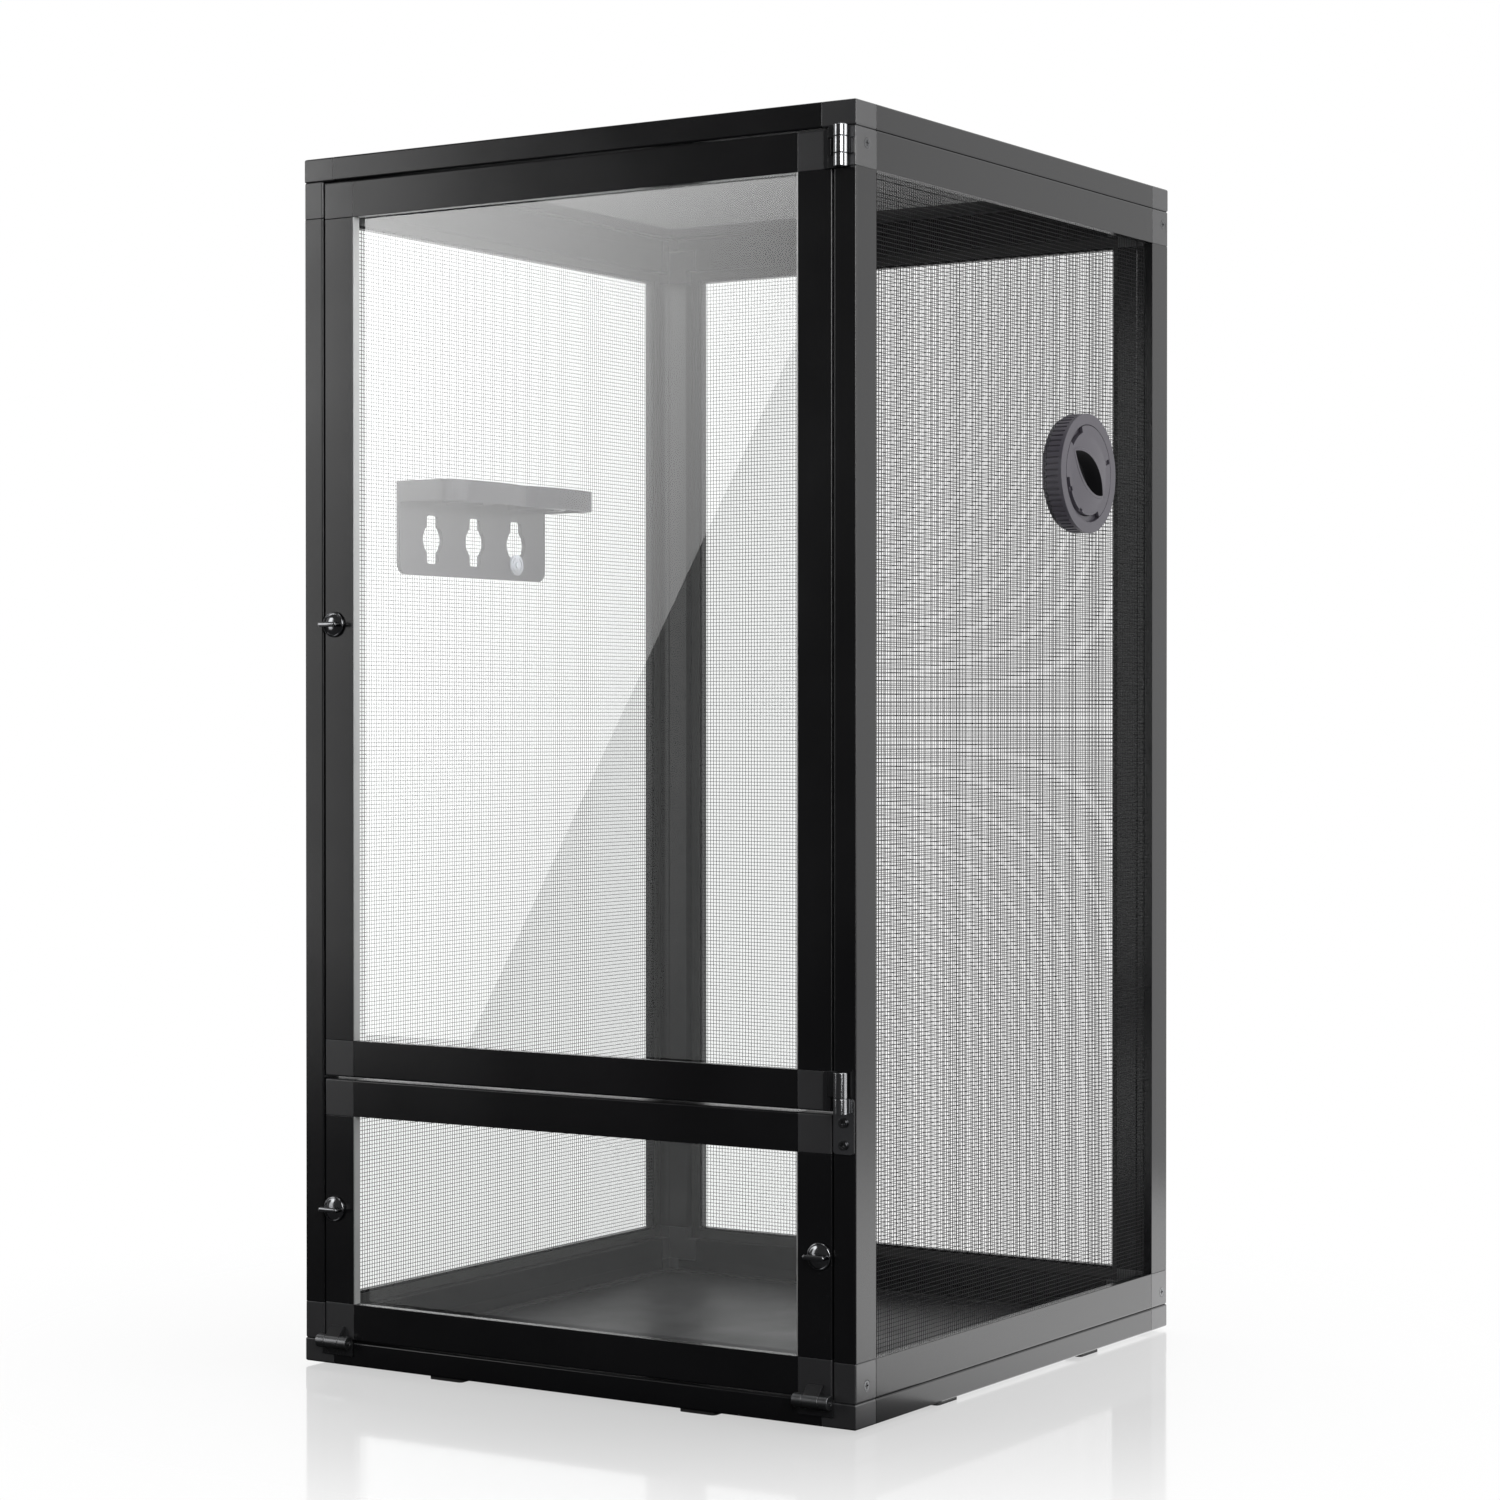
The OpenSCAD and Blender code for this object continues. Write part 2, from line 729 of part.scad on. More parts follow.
module lower_hinge_base_leaves() color(dark_chrome) both_sides() {
  l = barrel_l / 2;
  m = barrel_l * 0.235;
  for (s = [[-l, -m], [m, l]]) {
    low_barrel(low_hinge_x + s[0], low_hinge_x + s[1], pin_r);
    translate([low_hinge_x + s[0], -half_d - leaf_t, low_axis_z - base_leaf_h])
      cube([s[1] - s[0], leaf_t, base_leaf_h]);
  }
  translate([low_hinge_x - l, -half_d - leaf_t, low_axis_z - base_leaf_h])
    cube([2 * l, leaf_t, base_strip_h]);
  base_peg() peg(0);
}

module lower_hinge_pins() color(dark_chrome) both_sides()
  translate([low_hinge_x - barrel_l / 2, axis_y, low_axis_z]) rotate([0, 90, 0])
    cylinder(h = barrel_l, r = pin_r);

module lower_door_peg() translate([low_hinge_x, -half_d, low_door_z + low_peg_up]) children();

module lower_door_hinge_leaves() color(dark_chrome) both_sides() {
  m = barrel_l * 0.235 - knuckle_gap;
  low_barrel(low_hinge_x - m, low_hinge_x + m, pin_r + running);
  difference() {
    translate([low_hinge_x - m, -half_d, low_door_z]) rotate([90, 0, 90]) linear_extrude(2 * m)
      polygon([[0, low_leaf_foot], [0, low_leaf_h], [-leaf_t, low_leaf_h],
        [-hinge_out - low_brow_out, low_brow_up], [-hinge_out, -door_clear]]);
    translate([low_hinge_x - m - 1, axis_y, low_axis_z]) rotate([0, 90, 0])
      cylinder(h = 2 * m + 2, r = pin_r + running);
  }
  lower_door_peg() peg(0);
}

// Turn knobs and cams, drawn with Z out of the door's face

shaft_r = 2.5;
stud_r = 2;
grip_t = 3;
grip_out = 8.2;
cam_t = 2.5;

module at_knob(x, z) translate([x, -half_d, z]) rotate([90, 0, 0]) children();

module knob_bore(x, z) at_knob(x, z)
  translate([0, 0, -frame_t - 1]) cylinder(h = frame_t + 2, r = shaft_r + shaft_fit);

module knob() {
  r = knob_d / 2;
  translate([0, 0, loose]) {
    rotate_extrude() polygon([[0, 0], [r, 0], [r, 0.9], [r - 1, 1.5], [r - 3.6, 2.2], [0, 2.6]]);
    linear_extrude(grip_out) {
      square([grip_l - grip_t, grip_t], center = true);
      for (x = [-1, 1]) translate([x * (grip_l - grip_t) / 2, 0]) circle(grip_t / 2);
    }
  }
  translate([0, 0, -frame_t - loose]) cylinder(h = frame_t + 2 * loose, r = shaft_r);
  translate([0, 0, -frame_t - loose - cam_t - 2]) cylinder(h = cam_t + 2, r = stud_r);
}

// The cam stops short of the door's edge, so that it clears the frame
module cam() difference() {
  union() {
    translate([0, 0, -frame_t - loose - cam_t]) linear_extrude(cam_t) {
      circle(5.4);
      translate([0, -3]) square([knob_in - 1, 6]);
    }
    translate([0, 0, -frame_t - loose - cam_t - 1.6]) cylinder(h = 1.6, r = 3.9, $fn = 6);
  }
  translate([0, 0, -frame_t - 8]) cylinder(h = 10, r = stud_r);
}

// Upper door

module upper_door_rails() color(frame_black) on_upper_door() rails(door_w, up_door_h);

module upper_door_stiles() color(frame_black) difference() {
  on_upper_door() stiles(door_w, up_door_h);
  knob_bore(-knob_x, knob_high);
}

module upper_door_corners() color(moulded_black) difference() {
  on_upper_door() corners(door_w, up_door_h);
  for (z = [hinge_z, up_door_z + 0.5])
    translate([door_w / 2 - leaf_w / 2, -half_d, z + 9]) peg(fit);
}

module upper_door_pane() color("#dfe6ea", 0.35) on_upper_door() infill(door_w, up_door_h, pane_t);

module upper_door_gasket() color(rubber_black) on_upper_door() spline(door_w, up_door_h, pane_t);

module upper_door_knob() color(dark_chrome) at_knob(-knob_x, knob_high) knob();

module upper_door_cam() color(dark_chrome) at_knob(-knob_x, knob_high) rotate(180) cam();

// Lower door

module lower_door_rails() color(frame_black) on_lower_door() rails(door_w, low_door_h);

module lower_door_stiles() color(frame_black) difference() {
  on_lower_door() stiles(door_w, low_door_h);
  knob_bore(-knob_x, knob_low);
  knob_bore(knob_x, knob_low);
}

module lower_door_corners() color(moulded_black) difference() {
  on_lower_door() corners(door_w, low_door_h);
  both_sides() lower_door_peg() peg(fit);
}

module lower_door_pane() color("#dfe6ea", 0.35) on_lower_door() infill(door_w, low_door_h, pane_t);

module lower_door_gasket() color(rubber_black) on_lower_door() spline(door_w, low_door_h, pane_t);

module lower_left_knob() color(dark_chrome) at_knob(-knob_x, knob_low) knob();

module lower_left_cam() color(dark_chrome) at_knob(-knob_x, knob_low) rotate(180) cam();

module lower_right_knob() color(dark_chrome) at_knob(knob_x, knob_low) knob();

module lower_right_cam() color(dark_chrome) at_knob(knob_x, knob_low) cam();

base_front_back_rails();
base_side_rails();
base_corners();
floor_sheet();
floor_spline();
feet();
left_rails();
left_stiles();
left_corners();
left_mesh();
left_spline();
right_rails();
right_stiles();
right_corners();
right_mesh();
right_spline();
back_rails();
back_stiles();
back_corners();
back_mesh();
back_spline();
top_front_back_rails();
top_side_rails();
top_corners();
top_mesh();
top_spline();
panel_screws();
frame_dowels();
port_flange();
port_ring();
port_cap();
ledge();
ledge_fixing();
top_hinge_frame_leaf();
middle_hinge_frame_leaf();
middle_hinge_screws();
lower_hinge_base_leaves();
upper_hinge_pins();
lower_hinge_pins();
upper_door_rails();
upper_door_stiles();
upper_door_corners();
upper_door_pane();
upper_door_gasket();
upper_door_hinge_leaves();
upper_door_knob();
upper_door_cam();
lower_door_rails();
lower_door_stiles();
lower_door_corners();
lower_door_pane();
lower_door_gasket();
lower_door_hinge_leaves();
lower_left_knob();
lower_left_cam();
lower_right_knob();
lower_right_cam();
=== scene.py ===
import bpy
import math
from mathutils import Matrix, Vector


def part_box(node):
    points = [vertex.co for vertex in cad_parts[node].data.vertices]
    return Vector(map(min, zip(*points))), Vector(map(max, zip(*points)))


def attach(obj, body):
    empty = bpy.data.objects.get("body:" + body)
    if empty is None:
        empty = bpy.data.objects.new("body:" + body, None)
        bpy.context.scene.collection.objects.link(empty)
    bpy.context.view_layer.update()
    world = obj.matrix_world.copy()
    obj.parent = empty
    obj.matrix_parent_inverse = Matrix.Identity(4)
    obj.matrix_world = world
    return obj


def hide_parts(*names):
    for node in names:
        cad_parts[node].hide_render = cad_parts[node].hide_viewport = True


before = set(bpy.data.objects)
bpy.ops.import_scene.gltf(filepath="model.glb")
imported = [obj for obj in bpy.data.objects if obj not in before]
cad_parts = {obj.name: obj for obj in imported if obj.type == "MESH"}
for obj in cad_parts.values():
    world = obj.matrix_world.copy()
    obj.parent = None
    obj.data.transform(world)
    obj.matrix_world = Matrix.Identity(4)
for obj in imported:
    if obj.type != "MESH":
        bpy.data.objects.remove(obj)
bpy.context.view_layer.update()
bpy.ops.object.select_all(action="DESELECT")


# The camera: a long lens a little over two metres away, at the height of the
# cage's middle and turned 33 degrees round to its right, so that the doors and
# the right side both show.
bpy.ops.object.camera_add(
    location=(1.2118, -1.8919, 0.4085),
    rotation=(math.radians(90 - 0.512), 0.0, math.radians(32.608)),
)
camera = bpy.context.object
camera.data.sensor_width = 36.0
camera.data.lens = 82.83
camera.data.clip_start = 0.05
camera.data.clip_end = 60.0
bpy.context.scene.camera = camera
bpy.context.scene.view_settings.view_transform = "Standard"


# The floor: a glossy white sweep under the cage. Near the cage it takes a soft
# shadow and a mirror image that fades, and further off it is plain white.
white_board = (0.86, 0.86, 0.865, 1.0)
# The floor colour before the cage: painted shade, where the studio is dim.
painted_floor_shade = (0.05, 0.05, 0.052, 1.0)
mirror_share = 0.36
shadow_share = 0.13


def ranged(tree, value, start, end, low, high, kind="LINEAR"):
    """Turn a value's range from start to end into low to high."""
    node = tree.nodes.new("ShaderNodeMapRange")
    node.interpolation_type = kind
    node.inputs["From Min"].default_value = start
    node.inputs["From Max"].default_value = end
    node.inputs["To Min"].default_value = low
    node.inputs["To Max"].default_value = high
    tree.links.new(value, node.inputs["Value"])
    return node.outputs["Result"]


def reckoned(tree, operation, first, second):
    """Multiply two values, or take the greater. The second may be a plain number."""
    node = tree.nodes.new("ShaderNodeMath")
    node.operation = operation
    tree.links.new(first, node.inputs[0])
    if isinstance(second, float):
        node.inputs[1].default_value = second
    else:
        tree.links.new(second, node.inputs[1])
    return node.outputs["Value"]


def blended(tree, share, first, second):
    """Mix two shaders, by the second one's share."""
    node = tree.nodes.new("ShaderNodeMixShader")
    tree.links.new(share, node.inputs["Fac"])
    tree.links.new(first, node.inputs[1])
    tree.links.new(second, node.inputs[2])
    return node.outputs["Shader"]


bpy.ops.mesh.primitive_plane_add(size=30.0, location=(0.0, 0.0, 0.0))
floor = bpy.context.object
floor.name = "white_sweep"
sweep = bpy.data.materials.new("white_sweep_board")
sweep.use_nodes = True
tree = sweep.node_tree
nodes, links = tree.nodes, tree.links
board = nodes["Principled BSDF"]
board.inputs["Base Color"].default_value = white_board
board.inputs["Roughness"].default_value = 0.5
place = nodes.new("ShaderNodeTexCoord")
spread = nodes.new("ShaderNodeVectorMath")
spread.operation = "LENGTH"
links.new(place.outputs["Object"], spread.inputs[0])
near = ranged(tree, spread.outputs["Value"], 0.22, 0.66, 1.0, 0.0, "SMOOTHSTEP")
white = nodes.new("ShaderNodeEmission")
white.inputs["Strength"].default_value = 1.0
mirror = nodes.new("ShaderNodeBsdfGlossy")
mirror.inputs["Color"].default_value = (1.0, 1.0, 1.0, 1.0)
mirror.inputs["Roughness"].default_value = 0.07
mirror_part = reckoned(tree, "MULTIPLY", near, mirror_share)
polished = blended(tree, mirror_part, white.outputs["Emission"], mirror.outputs["BSDF"])
shadow_part = reckoned(tree, "MULTIPLY", near, shadow_share)
shaded = blended(tree, shadow_part, polished, board.outputs["BSDF"])
path = nodes.new("ShaderNodeLightPath").outputs
seen = reckoned(tree, "MAXIMUM", path["Is Camera Ray"], path["Is Transmission Ray"])

# In metal the white sweep shows behind the cage; before it the floor's colour is
# darkened as painted shade of a dim studio.
behind = nodes.new("ShaderNodeSeparateXYZ")
links.new(place.outputs["Object"], behind.inputs["Vector"])
rear = ranged(tree, behind.outputs["Y"], -0.2, 0.15, 0.0, 1.0)
painted_shade_board = nodes.new("ShaderNodeMix")
painted_shade_board.data_type = "RGBA"
painted_shade_board.inputs["A"].default_value = painted_floor_shade
painted_shade_board.inputs["B"].default_value = white_board
links.new(rear, painted_shade_board.inputs["Factor"])
painted_shade_floor = nodes.new("ShaderNodeBsdfDiffuse")
links.new(painted_shade_board.outputs["Result"], painted_shade_floor.inputs["Color"])
in_metal = reckoned(tree, "MULTIPLY", path["Is Glossy Ray"], rear)
shown = reckoned(tree, "MAXIMUM", seen, in_metal)
ground = blended(tree, shown, painted_shade_floor.outputs["BSDF"], shaded)
links.new(ground, nodes["Material Output"].inputs["Surface"])
floor.data.materials.append(sweep)


# The room: a white backdrop behind the cage and a dim studio before it, which
# keeps the front of the black frames dark. The camera and the panes see white.
world = bpy.data.worlds.new("studio_room")
world.use_nodes = True
bpy.context.scene.world = world
tree = world.node_tree
nodes, links = tree.nodes, tree.links
room = nodes["Background"]
room.inputs["Color"].default_value = (1.0, 1.0, 1.0, 1.0)
path = nodes.new("ShaderNodeLightPath").outputs
seen = reckoned(tree, "MAXIMUM", path["Is Camera Ray"], path["Is Transmission Ray"])
heading = nodes.new("ShaderNodeTexCoord")
ways = nodes.new("ShaderNodeSeparateXYZ")
links.new(heading.outputs["Generated"], ways.inputs["Vector"])
backdrop = ranged(tree, ways.outputs["Y"], -0.35, 0.25, 0.08, 1.0)
level = reckoned(tree, "MAXIMUM", seen, backdrop)
links.new(level, room.inputs["Strength"])


# The lamps: a broad soft one to the right, a low one by the floor there, one
# overhead, one at the front left for the doors' left end, and at the front
# right a broad one and a narrow strip for the glints on the metal.
def soft_lamp(name, at, aim, width, height, power):
    """An area lamp that faces a point."""
    bpy.ops.object.light_add(type="AREA", location=at)
    lamp = bpy.context.object
    lamp.name = name
    lamp.data.shape = "RECTANGLE"
    lamp.data.size = width
    lamp.data.size_y = height
    lamp.data.energy = power
    lamp.visible_camera = False
    lamp.visible_transmission = False
    gaze = [a - b for a, b in zip(aim, at)]
    flat = math.hypot(gaze[0], gaze[1])
    lamp.rotation_euler = (
        math.atan2(flat, -gaze[2]),
        0.0,
        math.atan2(gaze[1], gaze[0]) - math.pi / 2,
    )
    return lamp


def shade_lamp(lamp, axis, start, end, first, last):
    """Let a lamp's strength change over its face, from first to last."""
    lamp.data.use_nodes = True
    tree = lamp.data.node_tree
    face = tree.nodes.new("ShaderNodeNewGeometry")
    sides = tree.nodes.new("ShaderNodeSeparateXYZ")
    tree.links.new(face.outputs["Parametric"], sides.inputs["Vector"])
    strength = ranged(tree, sides.outputs[axis], start, end, first, last)
    tree.links.new(strength, tree.nodes["Emission"].inputs["Strength"])


def link_lamps(name, lamps, pieces, rule):
    """Let lamps fall on these pieces alone (INCLUDE), or leave them out (EXCLUDE)."""
    group = bpy.data.collections.new(name)
    for piece in pieces:
        group.objects.link(piece)
    for lamp in lamps:
        lamp.light_linking.receiver_collection = group
    for entry in group.collection_objects:
        entry.light_linking.link_state = rule


soft_lamp("right_lamp", (2.6, 0.9, 1.1), (0.1, 0.0, 0.4), 1.6, 1.8, 25.0)
soft_lamp("floor_lamp", (0.67, 0.35, 0.001), (0.67, 0.35, 1.0), 0.9, 1.1, 3.6)
soft_lamp("overhead_lamp", (0.2, 0.3, 2.8), (0.0, 0.0, 0.4), 1.6, 1.6, 30.0)
strip_lamp = soft_lamp(
    "strip_lamp", (1.9, -1.5, 0.7), (0.2, -0.2, 0.4), 0.25, 1.5, 6.0
)
front_right_lamp = soft_lamp(
    "front_right_lamp", (1.7, -1.9, 1.3), (0.0, 0.0, 0.4), 1.2, 1.2, 28.5
)
left_lamp = soft_lamp(
    "left_lamp", (-1.68, -1.6, 0.69), (-0.1, -0.1, 0.5), 0.7, 1.33, 9.6
)

# The left lamp is brighter at one end, so that the doors' stile darkens downwards.
shade_lamp(left_lamp, "Y", 0.36, 0.7, 0.5, 1.05)

# A tilted card, which only the panes pick up: it lays the slanting sheen over
# the upper left of the glass, stronger on one side.
card = soft_lamp(
    "pane_card", (-1.566, -2.0, 0.704), (-1.566, 0.0, 0.704), 0.9, 1.89, 20.0
)
card.rotation_euler = (math.pi / 2, math.radians(29.6), 0.0)
shade_lamp(card, "X", 0.0, 1.0, 3.2, 0.8)

# The lamps at the front right leave the floor out, so that none shows in it, and
# the left lamp leaves the panes to the card.
pane_nodes = ("upper_door_pane", "lower_door_pane")
panes = [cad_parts[pane] for pane in pane_nodes]
link_lamps(
    "front_right_lamps_leave_out", (strip_lamp, front_right_lamp), [floor], "EXCLUDE"
)
link_lamps("card_falls_on", [card], panes, "INCLUDE")
link_lamps("left_lamp_leaves_out", [left_lamp], panes, "EXCLUDE")


# Aluminium bars: thin-walled extrusions, sawn square and powder coated satin
# black. Each has a hollow tube, a flange and the groove that takes the spline.
# The sawn ends and the section's corners are eased by the coat.
def paint_grain():
    """Node group: fine peel of a sprayed or moulded skin, and faint handling marks."""
    group = bpy.data.node_groups.new("skin_grain", "ShaderNodeTree")
    for label, kind, value in (
        ("Grain Size", "NodeSocketFloat", 900.0),
        ("Grain Depth", "NodeSocketFloat", 0.2),
        ("Rough Low", "NodeSocketFloat", 0.3),
        ("Rough High", "NodeSocketFloat", 0.4),
        ("Dark", "NodeSocketColor", (0.01, 0.01, 0.011, 1.0)),
        ("Light", "NodeSocketColor", (0.016, 0.016, 0.018, 1.0)),
    ):
        socket = group.interface.new_socket(
            name=label, in_out="INPUT", socket_type=kind
        )
        socket.default_value = value
    for label, kind in (
        ("Color", "NodeSocketColor"),
        ("Roughness", "NodeSocketFloat"),
        ("Normal", "NodeSocketVector"),
    ):
        group.interface.new_socket(name=label, in_out="OUTPUT", socket_type=kind)
    n, l = group.nodes, group.links
    given, out = n.new("NodeGroupInput"), n.new("NodeGroupOutput")
    where = n.new("ShaderNodeTexCoord")
    fine = n.new("ShaderNodeTexNoise")
    fine.inputs["Detail"].default_value = 2.0
    l.new(where.outputs["Object"], fine.inputs["Vector"])
    l.new(given.outputs["Grain Size"], fine.inputs["Scale"])
    bump = n.new("ShaderNodeBump")
    bump.inputs["Distance"].default_value = 0.0003
    l.new(fine.outputs["Fac"], bump.inputs["Height"])
    l.new(given.outputs["Grain Depth"], bump.inputs["Strength"])
    l.new(bump.outputs["Normal"], out.inputs["Normal"])
    broad = n.new("ShaderNodeTexNoise")
    broad.inputs["Scale"].default_value = 14.0
    broad.inputs["Detail"].default_value = 5.0
    l.new(where.outputs["Object"], broad.inputs["Vector"])
    rough = n.new("ShaderNodeMapRange")
    rough.inputs["From Min"].default_value = 0.3
    rough.inputs["From Max"].default_value = 0.7
    l.new(broad.outputs["Fac"], rough.inputs["Value"])
    l.new(given.outputs["Rough Low"], rough.inputs["To Min"])
    l.new(given.outputs["Rough High"], rough.inputs["To Max"])
    l.new(rough.outputs["Result"], out.inputs["Roughness"])
    tint = n.new("ShaderNodeMix")
    tint.data_type = "RGBA"
    l.new(broad.outputs["Fac"], tint.inputs["Factor"])
    l.new(given.outputs["Dark"], tint.inputs["A"])
    l.new(given.outputs["Light"], tint.inputs["B"])
    l.new(tint.outputs["Result"], out.inputs["Color"])
    return group


skin_grain = paint_grain()


def grained(name, dark, light, rough, grain, depth, metal=0.0, specular=0.5):
    """A material on the skin grain, with the ends of its shade and roughness."""
    material = bpy.data.materials.new(name)
    material.use_nodes = True
    n, l = material.node_tree.nodes, material.node_tree.links
    shader = n["Principled BSDF"]
    shader.inputs["Metallic"].default_value = metal
    shader.inputs["Specular IOR Level"].default_value = specular
    grainy = n.new("ShaderNodeGroup")
    grainy.node_tree = skin_grain
    grainy.inputs["Grain Size"].default_value = grain
    grainy.inputs["Grain Depth"].default_value = depth
    grainy.inputs["Rough Low"].default_value = rough[0]
    grainy.inputs["Rough High"].default_value = rough[1]
    grainy.inputs["Dark"].default_value = (*dark, 1.0)
    grainy.inputs["Light"].default_value = (*light, 1.0)
    l.new(grainy.outputs["Color"], shader.inputs["Base Color"])
    l.new(grainy.outputs["Roughness"], shader.inputs["Roughness"])
    l.new(grainy.outputs["Normal"], shader.inputs["Normal"])
    return material


def coat(node, material):
    """Give a frame piece its finish."""
    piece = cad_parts[node]
    piece.data.materials.clear()
    piece.data.materials.append(material)


def take_up(piece):
    """Select a piece alone, to work on it."""
    bpy.ops.object.select_all(action="DESELECT")
    piece.select_set(True)
    bpy.context.view_layer.objects.active = piece


def ease_edges(piece, width):
    """Round over a piece's sharp edges, and shade it so that its flats stay flat."""
    take_up(piece)
    round_over = piece.modifiers.new("round_over", "BEVEL")
    round_over.width = width
    round_over.segments = 2
    round_over.limit_method = "ANGLE"
    round_over.angle_limit = math.radians(30.0)
    round_over.use_clamp_overlap = False
    bpy.ops.object.modifier_apply(modifier="round_over")
    bpy.ops.object.shade_smooth_by_angle(angle=math.radians(50.0))
    flats = piece.modifiers.new("flats", "WEIGHTED_NORMAL")
    flats.keep_sharp = True
    bpy.ops.object.modifier_apply(modifier="flats")


def eased_copy(node, name, body, finish, width, openings=None):
    """A copy of a frame piece with eased edges, shown in its place."""
    piece = bpy.data.objects.new(name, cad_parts[node].data.copy())
    bpy.context.scene.collection.objects.link(piece)
    take_up(piece)
    bpy.ops.mesh.customdata_custom_splitnormals_clear()
    bpy.ops.object.mode_set(mode="EDIT")
    bpy.ops.mesh.select_all(action="SELECT")
    bpy.ops.mesh.remove_doubles(threshold=0.000005)
    bpy.ops.mesh.dissolve_limited(angle_limit=math.radians(0.6))
    bpy.ops.object.mode_set(mode="OBJECT")
    if openings:
        openings(piece)
    ease_edges(piece, width)
    piece.data.materials.clear()
    piece.data.materials.append(finish)
    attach(piece, body)
    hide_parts(node)
    return piece


bar_ease = 0.0003
powder_coat = grained(
    "satin_black_powder_coat", (0.0042, 0.0042, 0.0047), (0.0062, 0.0062, 0.007),
    (0.18, 0.24), 2200.0, 0.07,
)
for body, bar_nodes in (
    ("cage", (
        "base_front_back_rails", "base_side_rails", "top_front_back_rails",
        "top_side_rails", "left_rails", "left_stiles", "right_rails",
        "right_stiles", "back_rails", "back_stiles",
    )),
    ("upper_door", ("upper_door_rails", "upper_door_stiles")),
    ("lower_door", ("lower_door_rails", "lower_door_stiles")),
):
    for bars in bar_nodes:
        eased_copy(bars, bars + "_coated", body, powder_coat, bar_ease)


# Corner connectors: black nylon mouldings with plug arms, pushed into the ends
# of the bars. They are flush with the aluminium but a shade lighter and
# duller, and their rounded edges leave a fine line at each seam.
corner_ease = 0.0005
corner_nylon = grained(
    "black_corner_nylon", (0.017, 0.017, 0.0185), (0.024, 0.024, 0.026),
    (0.3, 0.4), 2600.0, 0.1, specular=0.95,
)
for corners, body in (
    ("base_corners", "cage"), ("top_corners", "cage"), ("left_corners", "cage"),
    ("right_corners", "cage"), ("back_corners", "cage"),
    ("upper_door_corners", "upper_door"), ("lower_door_corners", "lower_door"),
):
    moulded = corners + "_moulded"
    eased_copy(corners, moulded, body, corner_nylon, corner_ease)


# Splines and gaskets: black rubber cord with a flat head, rolled into the
# grooves round each screen, sheet and pane. The feet are pads of the same
# rubber, glued under the base.
rubber = grained(
    "black_spline_rubber", (0.008, 0.008, 0.008), (0.016, 0.016, 0.016),
    (0.55, 0.7), 700.0, 0.3,
)
for strip in (
    "floor_spline", "left_spline", "right_spline", "back_spline", "top_spline",
    "upper_door_gasket", "lower_door_gasket", "feet",
):
    coat(strip, rubber)


# Floor sheet: a thin black plastic sheet laid on the base frame's lips. It is
# smooth, with the faint scuffs that such a sheet has.
sheet_black = grained(
    "black_floor_sheet", (0.011, 0.011, 0.012), (0.022, 0.022, 0.024),
    (0.3, 0.5), 260.0, 0.15,
)
coat("floor_sheet", sheet_black)


# Wire screens: black coated wire, 0.37 mm thick, in a 2.5 mm mesh. It is
# stretched over the flange and held by the spline. Each cloth is drawn lying
# down and then stood up in place of the wide net.
pitch = 0.0025
wire_round = 0.000185
wire_black = grained(
    "black_screen_wire", (0.006, 0.006, 0.0065), (0.01, 0.01, 0.011),
    (0.4, 0.55), 2500.0, 0.1, specular=0.2,
)


def run_wires(long, wide, level, turned):
    """One set of parallel wires, centred on the origin."""
    count = int(wide / pitch)
    start = -(count - 1) * pitch / 2
    place = (0.0, start, level) if turned else (start, 0.0, level)
    turn = (0.0, math.pi / 2, 0.0) if turned else (math.pi / 2, 0.0, 0.0)
    bpy.ops.mesh.primitive_cylinder_add(
        vertices=6, radius=wire_round, depth=long, location=place, rotation=turn
    )
    strand = bpy.context.object
    bpy.ops.object.transform_apply(location=True, rotation=True, scale=True)
    rows = strand.modifiers.new("rows", "ARRAY")
    rows.use_relative_offset = False
    rows.use_constant_offset = True
    rows.constant_offset_displace = (0.0, pitch, 0.0) if turned else (pitch, 0.0, 0.0)
    rows.count = count
    bpy.ops.object.modifier_apply(modifier="rows")
    return strand


def joined(pieces, name):
    """Make one piece of several, under one name."""
    take_up(pieces[0])
    for piece in pieces:
        piece.select_set(True)
    bpy.ops.object.join()
    whole = bpy.context.object
    whole.name = name
    return whole


def stretch_screen(name, node, upright):
    """A wire screen of the size of the net it replaces."""
    lo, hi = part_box(node)
    size = [b - a for a, b in zip(lo, hi)]
    wide = size[1] if upright == "side" else size[0]
    tall = size[1] if upright == "flat" else size[2]
    bpy.ops.object.select_all(action="DESELECT")
    along = run_wires(tall, wide, wire_round, False)
    across = run_wires(wide, tall, -wire_round, True)
    cloth = joined((along, across), name)
    if upright != "flat":
        turn = math.pi / 2 if upright == "side" else 0.0
        cloth.rotation_euler = (math.pi / 2, 0.0, turn)
    cloth.location = [(a + b) / 2 for a, b in zip(lo, hi)]
    bpy.ops.object.transform_apply(location=True, rotation=True, scale=True)
    cloth.data.materials.append(wire_black)
    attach(cloth, "cage")
    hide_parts(node)
    return cloth


stretch_screen("left_wire_screen", "left_mesh", "side")
right_screen = stretch_screen("right_wire_screen", "right_mesh", "side")
stretch_screen("back_wire_screen", "back_mesh", "back")
stretch_screen("top_wire_screen", "top_mesh", "flat")


def cut_away(piece, cutter):
    """Take the cutter's form out of a piece, and the cutter with it."""
    opening = piece.modifiers.new("opening", "BOOLEAN")
    opening.operation = "DIFFERENCE"
    opening.solver = "EXACT"
    opening.object = cutter
    bpy.context.view_layer.objects.active = piece
    bpy.ops.object.modifier_apply(modifier="opening")
    bpy.data.objects.remove(cutter)


